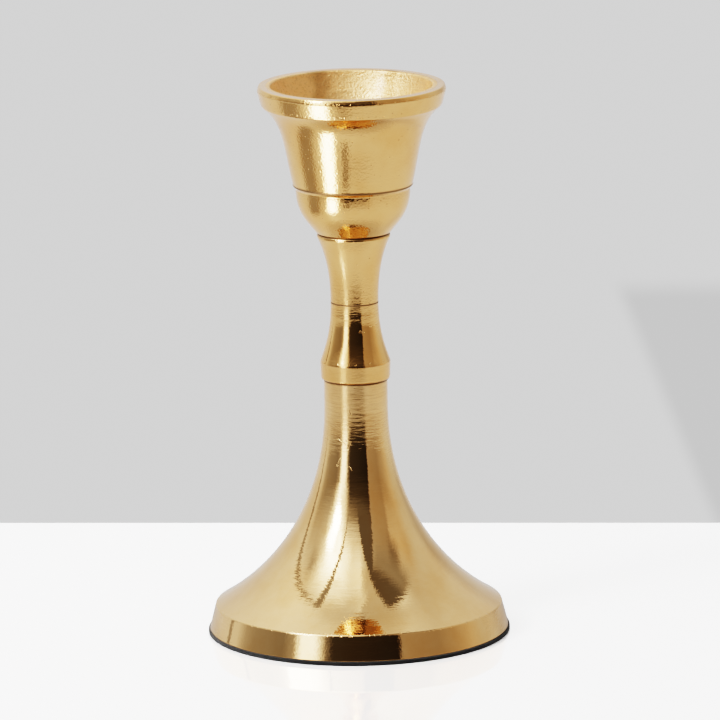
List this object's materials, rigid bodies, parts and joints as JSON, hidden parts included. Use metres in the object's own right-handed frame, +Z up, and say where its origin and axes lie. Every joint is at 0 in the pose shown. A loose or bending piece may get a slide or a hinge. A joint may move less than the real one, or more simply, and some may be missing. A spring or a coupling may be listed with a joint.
{
  "type": "brass candlestick",
  "caption": "Turned brass candlestick with a flared foot, a collared stem and a bell-shaped cup that holds one taper candle.",
  "frame": {"origin": "centre of the felt pad's underside, on the surface the candlestick stands on", "axes": "+Z up along the turning axis, from the foot to the candle cup; X and Y are any two horizontal directions, because every visible piece is round"},
  "size_m": [0.076, 0.076, 0.1395],
  "materials": {
    "brass": "polished and lacquered, with turning marks on the neck",
    "steel": "zinc plated",
    "board": "dense brown fibreboard",
    "felt": "short black felt"
  },
  "bodies": {
    "root": {"felt_pad": "felt", "base_board": "board", "base": "brass", "lower_stem": "brass", "upper_stem": "brass", "candle_cup": "brass", "cup_stud": "steel", "waist_stud": "steel", "base_bolt": "steel", "spring_washer": "steel", "flat_washer": "steel"}
  },
  "joints": []
}
